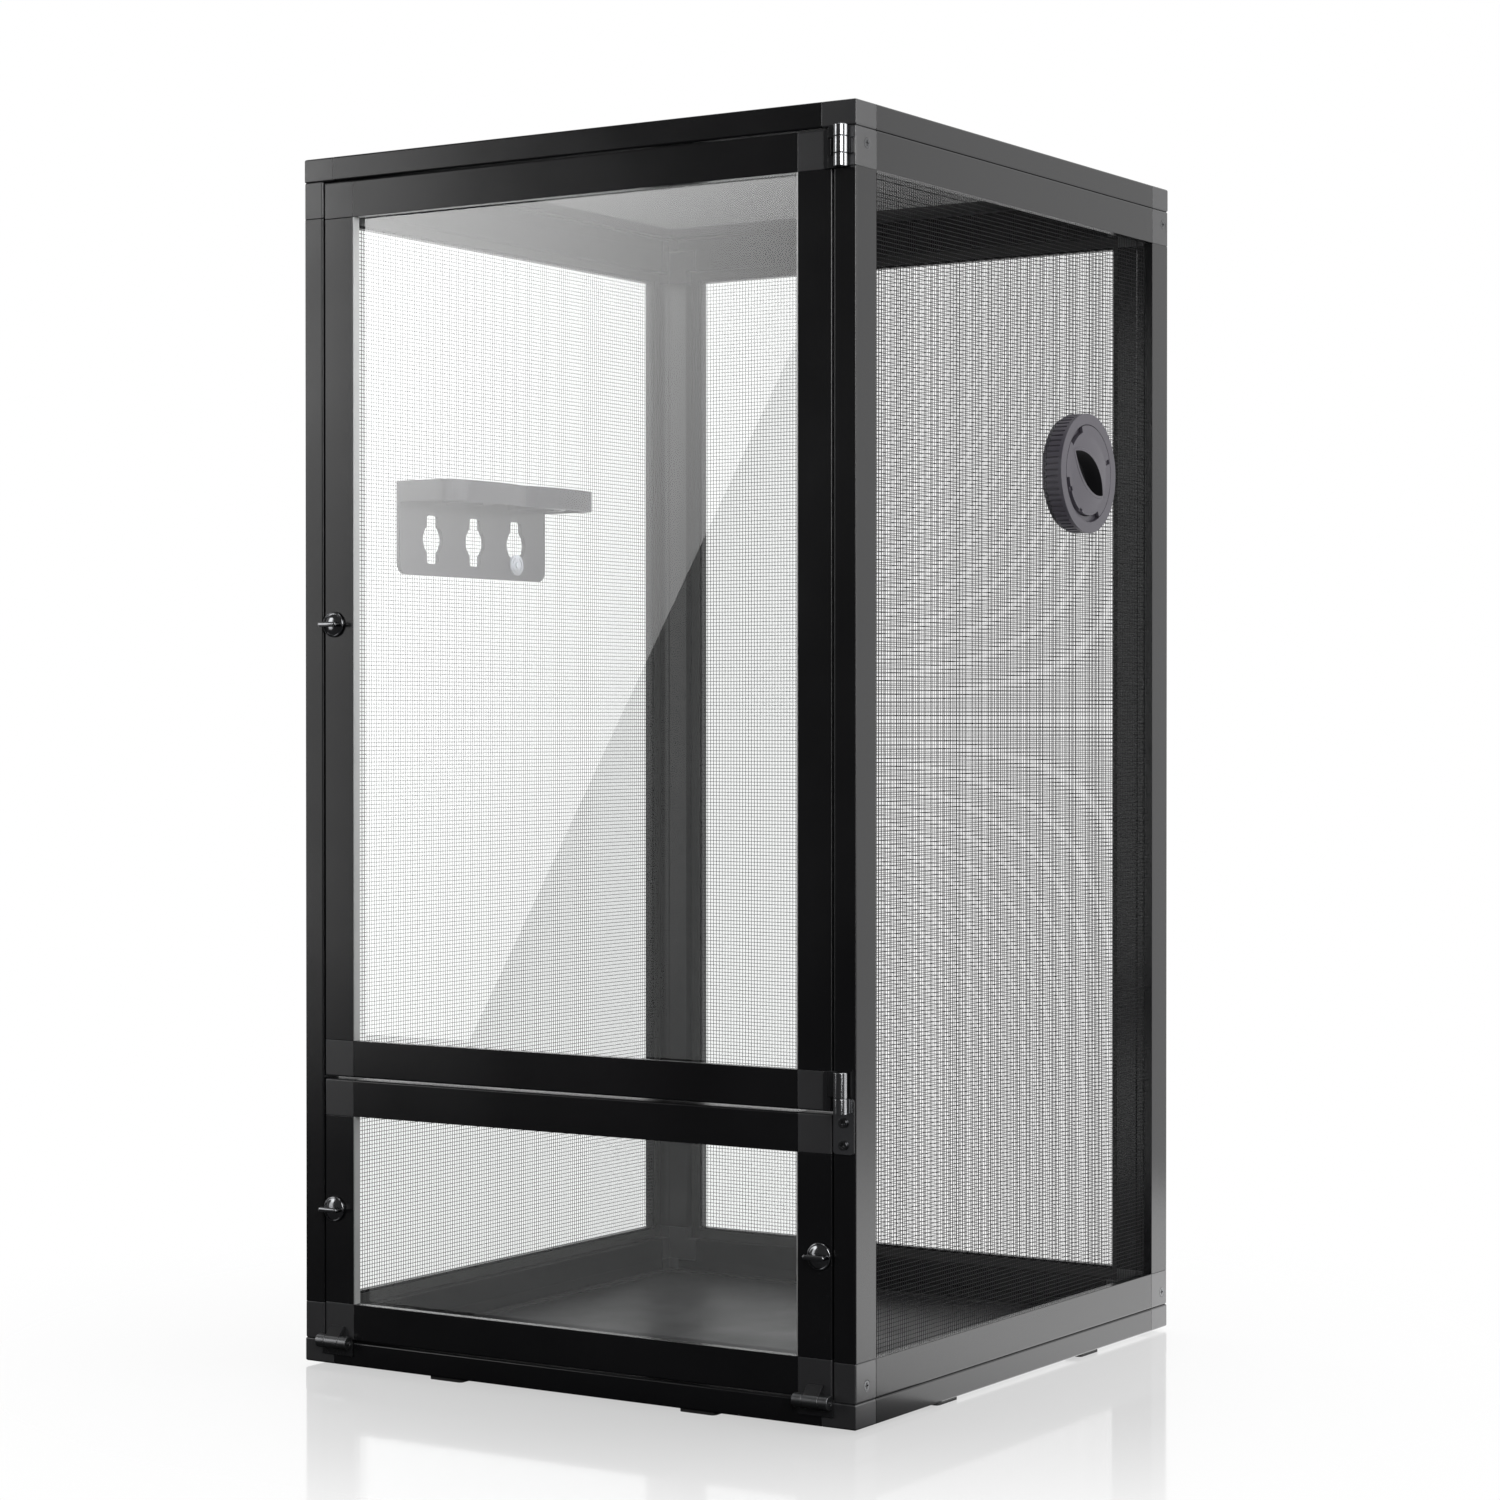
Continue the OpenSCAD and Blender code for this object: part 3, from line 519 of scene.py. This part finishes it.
# The right screen is cut out round the port's sleeve.
hole_round = 0.0312
hole_long = 0.03
port_lo, port_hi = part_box("port_flange")
port_middle = [(a + b) / 2 for a, b in zip(port_lo, port_hi)]
bpy.ops.object.select_all(action="DESELECT")
bpy.ops.mesh.primitive_cylinder_add(
    vertices=48, radius=hole_round, depth=hole_long, location=port_middle,
    rotation=(0.0, math.pi / 2, 0.0),
)
cut_away(right_screen, bpy.context.object)


# Panes: clear 3 mm glass in both doors, seated on the lips from behind and
# held by the gaskets. The glass has a faint film, as handled glass has.
clear_glass = bpy.data.materials.new("clear_glass")
clear_glass.use_nodes = True
tree = clear_glass.node_tree
nodes, links = tree.nodes, tree.links
glass = nodes["Principled BSDF"]
glass.inputs["Base Color"].default_value = (0.97, 0.985, 0.98, 1.0)
glass.inputs["IOR"].default_value = 1.5
glass.inputs["Transmission Weight"].default_value = 1.0
spot = nodes.new("ShaderNodeTexCoord")
smear = nodes.new("ShaderNodeTexNoise")
smear.inputs["Scale"].default_value = 5.0
smear.inputs["Detail"].default_value = 4.0
links.new(spot.outputs["Object"], smear.inputs["Vector"])
film = ranged(tree, smear.outputs["Fac"], 0.45, 0.8, 0.0, 0.035)
links.new(film, glass.inputs["Roughness"])
through = nodes.new("ShaderNodeBsdfTransparent")
through.inputs["Color"].default_value = (0.93, 0.95, 0.94, 1.0)
shadow = nodes.new("ShaderNodeLightPath").outputs["Is Shadow Ray"]
shade = blended(tree, shadow, glass.outputs["BSDF"], through.outputs["BSDF"])
links.new(shade, nodes["Material Output"].inputs["Surface"])
for pane in pane_nodes:
    coat(pane, clear_glass)


# Pane seals: half clear vinyl strips, pale at the top; their colour darkens towards the
# foot as painted shade. They are cut from a straight roll and stuck inside the upright
# lips.
section_wide = 0.023
lip_front = -0.20315
lip_back = -0.19745
seal_thick = 0.0008
seal_clear = 0.00002
seal_ease = 0.0002


def painted_light_vinyl(name, foot, foot_shade, head, head_shade):
    """A vinyl whose colour runs from one shade at the foot to a paler one at the head,
    as painted light and shade.
    """
    vinyl = grained(
        name, (0.5, 0.5, 0.51), (0.56, 0.56, 0.57), (0.3, 0.42), 900.0, 0.15
    )
    n, l = vinyl.node_tree.nodes, vinyl.node_tree.links
    where, ways = n.new("ShaderNodeTexCoord"), n.new("ShaderNodeSeparateXYZ")
    l.new(where.outputs["Object"], ways.inputs["Vector"])
    # Painted shade: the colour darkens with height from the head down to the foot.
    rise = ranged(
        vinyl.node_tree, ways.outputs["Z"], foot, head, foot_shade, head_shade
    )
    shader = n["Principled BSDF"]
    l.new(rise, shader.inputs["Base Color"])
    shader.inputs["Subsurface Weight"].default_value = 0.3
    shader.inputs["Subsurface Radius"].default_value = (0.001, 0.001, 0.001)
    return vinyl


def pick(piece, faces=None, points=None):
    """Pick some faces or points of a piece and go on with them in edit mode."""
    mesh = piece.data
    for kind in (mesh.vertices, mesh.edges, mesh.polygons):
        kind.foreach_set("select", [False] * len(kind))
    if faces:
        bpy.context.tool_settings.mesh_select_mode = (False, False, True)
        for face in mesh.polygons:
            face.select = faces(face)
    else:
        bpy.context.tool_settings.mesh_select_mode = (True, False, False)
        for point in mesh.vertices:
            point.select = points(point)
    bpy.ops.object.mode_set(mode="EDIT")


lip_painted_shade_vinyl = painted_light_vinyl("lip_seal_painted_shade", 0.08, 0.28, 0.69, 0.72)


def line_lips(name, body, door_node):
    """A strip inside each upright lip of a door."""
    lo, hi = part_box(door_node)
    inset = section_wide + seal_clear
    left, right = lo[0] + inset, hi[0] - inset
    low, high = lo[2] + inset, hi[2] - inset
    bpy.ops.object.select_all(action="DESELECT")
    bpy.ops.mesh.primitive_cube_add(
        size=1.0,
        location=((left + right) / 2, (lip_front + lip_back) / 2, (low + high) / 2),
        scale=(right - left, lip_back - lip_front, high - low),
    )
    strip = bpy.context.object
    strip.name = name
    bpy.ops.object.transform_apply(location=True, rotation=True, scale=True)
    pick(strip, faces=lambda face: abs(face.normal[0]) < 0.5)
    bpy.ops.mesh.delete(type="FACE")
    bpy.ops.object.mode_set(mode="OBJECT")
    wall = strip.modifiers.new("wall", "SOLIDIFY")
    wall.thickness = seal_thick
    wall.offset = -1.0
    bpy.ops.object.modifier_apply(modifier="wall")
    ease_edges(strip, seal_ease)
    strip.data.materials.append(lip_painted_shade_vinyl)
    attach(strip, body)


line_lips("upper_pane_seal", "upper_door", "upper_door_corners")
line_lips("lower_pane_seal", "lower_door", "lower_door_corners")

# A straight length of like vinyl closes the gap on the hinge side. Its colour is a
# painted highlight, pale at the top and fading to dark at the foot.
gap_middle = (0.18766, -0.19575, 0.461)
gap_size = (0.0006, 0.0115, 0.532)
gap_ease = 0.00022
bpy.ops.object.select_all(action="DESELECT")
bpy.ops.mesh.primitive_cube_add(size=1.0, location=gap_middle, scale=gap_size)
gap_strip = bpy.context.object
gap_strip.name = "hinge_side_strip"
bpy.ops.object.transform_apply(location=True, rotation=True, scale=True)
ease_edges(gap_strip, gap_ease)
gap_strip.data.materials.append(painted_light_vinyl("gap_strip_painted_highlight", 0.2, 0.1, 0.727, 0.8))
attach(gap_strip, "cage")


# Hinges: zinc castings with steel pins. The round knuckles are polished and
# plated dark; the leaves behind them are painted black like the frame.
upper_axis = (0.1955, -0.2075)
lower_axis = (-0.2075, 0.017)
knuckle_reach = 0.0044
hinge_ease = 0.0004
knuckle_plate = grained(
    "dark_polished_plating", (0.32, 0.325, 0.335), (0.42, 0.425, 0.435),
    (0.12, 0.24), 1800.0, 0.08, metal=1.0,
)
dull_plate = grained(
    "dull_dark_plating", (0.14, 0.142, 0.147), (0.22, 0.223, 0.229),
    (0.26, 0.38), 1500.0, 0.15, metal=1.0,
)
leaf_black = grained(
    "black_enamelled_leaf", (0.009, 0.009, 0.01), (0.014, 0.014, 0.0155),
    (0.2, 0.3), 1200.0, 0.12,
)


def hinge_copy(node, name, body, upright):
    """An eased hinge casting with plated knuckles and black leaves."""
    plate = knuckle_plate if upright else dull_plate
    casting = eased_copy(node, name, body, plate, hinge_ease)
    casting.data.materials.append(leaf_black)
    for face in casting.data.polygons:
        at = face.center
        if upright:
            away = math.hypot(at[0] - upper_axis[0], at[1] - upper_axis[1])
        else:
            away = math.hypot(at[1] - lower_axis[0], at[2] - lower_axis[1])
        face.material_index = 0 if away < knuckle_reach else 1


hinge_copy("top_hinge_frame_leaf", "top_hinge_casting", "cage", True)
hinge_copy("middle_hinge_frame_leaf", "middle_hinge_casting", "cage", True)
hinge_copy("upper_door_hinge_leaves", "upper_door_hinge_castings", "upper_door", True)
hinge_copy("lower_hinge_base_leaves", "lower_hinge_castings", "cage", False)
hinge_copy("lower_door_hinge_leaves", "lower_door_hinge_castings", "lower_door", False)
for pins in ("upper_hinge_pins", "lower_hinge_pins"):
    coat(pins, knuckle_plate)


# Screws and dowels: countersunk steel screws, blackened, and plain zinc-plated
# pins inside the corners.
screw_ease = 0.00012
black_steel = grained(
    "blackened_screw_steel", (0.1, 0.102, 0.106), (0.15, 0.152, 0.156),
    (0.16, 0.28), 2200.0, 0.08, metal=1.0,
)
for screws, name in (
    ("panel_screws", "panel_screws_turned"),
    ("middle_hinge_screws", "hinge_screws_turned"),
):
    eased_copy(screws, name, "cage", black_steel, screw_ease)
zinc = grained(
    "zinc_plated_steel", (0.4, 0.41, 0.42), (0.5, 0.5, 0.5),
    (0.25, 0.4), 2200.0, 0.1, metal=1.0,
)
coat("frame_dowels", zinc)


# Turn knobs: cast discs with a raised rim, a low dome and a blade that stands
# out, plated dark and polished. The blade is level while the door is locked,
# and a shaft goes through the stile to the cam behind it.
disc_round = 0.008
disc_edge = 0.001
blade_long = 0.0146
blade_thick = 0.003
blade_tall = 0.0074
blade_foot = 0.0008
blade_crown = 0.0011
shaft_round = 0.0025
shaft_long = 0.0156
stud_step = 0.0005
stud_long = 0.0045
door_face = -0.203
knob_clear = 0.0003
knob_chrome = grained(
    "dark_chrome_plating", (0.2, 0.203, 0.21), (0.27, 0.273, 0.281),
    (0.1, 0.17), 1500.0, 0.04, metal=1.0,
)


def rod(vertices, radius, long, middle):
    """An upright round rod, with its middle at one height on the axis."""
    bpy.ops.mesh.primitive_cylinder_add(
        vertices=vertices, radius=radius, depth=long, location=(0.0, 0.0, middle)
    )
    bpy.ops.object.transform_apply(location=True, rotation=True, scale=True)
    return bpy.context.object


def turned_disc():
    """The disc lying flat: its rim, a groove inside it and a low dome."""
    disc = rod(64, disc_round, disc_edge, disc_edge / 2)
    pick(disc, faces=lambda face: face.normal[2] > 0.9)
    for step_in, rise in (
        (0.0003, 0.0005), (0.0005, 0.0001), (0.0004, -0.0005), (0.0006, 0.0001),
        (0.0009, 0.0005), (0.0012, 0.0004), (0.0016, 0.00025), (0.0016, 0.0001),
    ):
        bpy.ops.mesh.inset(thickness=step_in)
        bpy.ops.transform.translate(value=(0.0, 0.0, rise))
    bpy.ops.object.mode_set(mode="OBJECT")
    return disc


def thumb_blade():
    """The blade, with round ends and a rounded top."""
    blade = rod(40, blade_thick / 2, blade_tall, blade_foot + blade_tall / 2)
    reach = (blade_long - blade_thick) / 2
    for side in (-1.0, 1.0):
        pick(blade, points=lambda point: point.co[0] * side > 0.00001)
        bpy.ops.transform.translate(value=(side * reach, 0.0, 0.0))
        bpy.ops.object.mode_set(mode="OBJECT")
    crown = blade.modifiers.new("crown", "BEVEL")
    crown.width = blade_crown
    crown.segments = 5
    crown.limit_method = "ANGLE"
    crown.angle_limit = math.radians(60.0)
    bpy.ops.object.modifier_apply(modifier="crown")
    return blade


def knob_shaft():
    """The shaft through the stile, stepped down to the stud that takes the cam."""
    shaft = rod(40, shaft_round, shaft_long, -shaft_long / 2)
    pick(shaft, faces=lambda face: face.normal[2] < -0.9)
    bpy.ops.mesh.inset(thickness=stud_step)
    bpy.ops.mesh.extrude_region_move(
        TRANSFORM_OT_translate={"value": (0.0, 0.0, -stud_long)}
    )
    bpy.ops.object.mode_set(mode="OBJECT")
    return shaft


def turn_knob(name, node, body):
    """One knob in place of a plain one."""
    lo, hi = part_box(node)
    bpy.ops.object.select_all(action="DESELECT")
    knob = joined((turned_disc(), thumb_blade(), knob_shaft()), name)
    knob.rotation_euler = (math.pi / 2, 0.0, 0.0)
    knob.location = (
        (lo[0] + hi[0]) / 2, door_face - knob_clear, (lo[2] + hi[2]) / 2
    )
    bpy.ops.object.transform_apply(location=True, rotation=True, scale=True)
    bpy.ops.object.shade_smooth_by_angle(angle=math.radians(50.0))
    knob.data.materials.append(knob_chrome)
    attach(knob, body)
    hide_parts(node)


turn_knob("upper_door_turn_knob", "upper_door_knob", "upper_knob")
turn_knob("lower_left_turn_knob", "lower_left_knob", "left_knob")
turn_knob("lower_right_turn_knob", "lower_right_knob", "right_knob")
for cam in ("upper_door_cam", "lower_left_cam", "lower_right_cam"):
    coat(cam, knuckle_plate)


# Cable port: two grey-violet nylon mouldings clamp the screen between them.
# A bayonet cap turns in the outer one, and a deep cup in it is the grip.
ring_ease = 0.0003
cap_ease = 0.0002
cup_round = 0.0235
cup_edge = 0.0035
cup_floor = 0.0005
port_nylon = grained(
    "grey_violet_nylon", (0.05, 0.046, 0.058), (0.07, 0.064, 0.079),
    (0.3, 0.42), 2400.0, 0.1,
)
# Near-black for the faces deep in the cup: painted shade in the recess.
cup_painted_shade = grained(
    "cup_recess_painted_shade", (0.006, 0.006, 0.007), (0.01, 0.01, 0.0115),
    (0.4, 0.55), 1300.0, 0.25,
)
eased_copy(
    "port_ring", "port_outer_ring", "cage", port_nylon, ring_ease
)
twist_cap = eased_copy(
    "port_cap", "port_twist_cap", "cap", port_nylon, cap_ease
)
twist_cap.data.materials.append(cup_painted_shade)
# The faces deep inside the cup take the painted shade.
cap_lo, cap_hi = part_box("port_cap")
for face in twist_cap.data.polygons:
    at = face.center
    away = math.hypot(at[1] - port_middle[1], at[2] - port_middle[2])
    inside = cap_lo[0] + cup_floor < at[0] < cap_hi[0] - cup_edge
    if inside and away < cup_round:
        face.material_index = 1
coat("port_flange", port_nylon)


# Ledge: a glossy black-violet moulding that hangs inside the left screen by a
# tongue, with a clear washer and nut through the screen. Its back plate has
# three keyholes, each a tall slot with a round bore across it.
ledge_ease = 0.0004
plate_middle = -0.1953
keyhole_height = 0.527
keyhole_places = (-0.082, -0.036, 0.01)
slot_wide = 0.012
slot_tall = 0.032
slot_deep = 0.0118
slot_corner = 0.002
bore_round = 0.0105
bore_deep = 0.012
ledge_gloss = grained(
    "glossy_ledge_plastic", (0.014, 0.012, 0.018), (0.02, 0.018, 0.026),
    (0.12, 0.2), 600.0, 0.05,
)


def cut_keyholes(plate):
    """Cut the three keyholes through the back plate."""
    for along in keyhole_places:
        middle = (plate_middle, along, keyhole_height)
        bpy.ops.object.select_all(action="DESELECT")
        bpy.ops.mesh.primitive_cylinder_add(
            vertices=48, radius=bore_round, depth=bore_deep, location=middle,
            rotation=(0.0, math.pi / 2, 0.0),
        )
        cut_away(plate, bpy.context.object)
        bpy.ops.mesh.primitive_cube_add(
            size=1.0, location=middle, scale=(slot_deep, slot_wide, slot_tall)
        )
        slot = bpy.context.object
        bpy.ops.object.transform_apply(location=True, rotation=True, scale=True)
        corners = slot.modifiers.new("corners", "BEVEL")
        corners.width = slot_corner
        corners.segments = 4
        bpy.ops.object.modifier_apply(modifier="corners")
        cut_away(plate, slot)


eased_copy(
    "ledge", "hanging_ledge", "cage", ledge_gloss, ledge_ease,
    cut_keyholes,
)
clear_plastic = bpy.data.materials.new("clear_washer_plastic")
clear_plastic.use_nodes = True
tree = clear_plastic.node_tree
nodes, links = tree.nodes, tree.links
washer = nodes["Principled BSDF"]
washer.inputs["Base Color"].default_value = (0.86, 0.88, 0.95, 1.0)
washer.inputs["Transmission Weight"].default_value = 0.7
washer.inputs["IOR"].default_value = 1.49
rings = nodes.new("ShaderNodeTexNoise")
rings.inputs["Scale"].default_value = 400.0
haze = ranged(tree, rings.outputs["Fac"], 0.0, 1.0, 0.08, 0.2)
links.new(haze, washer.inputs["Roughness"])
coat("ledge_fixing", clear_plastic)
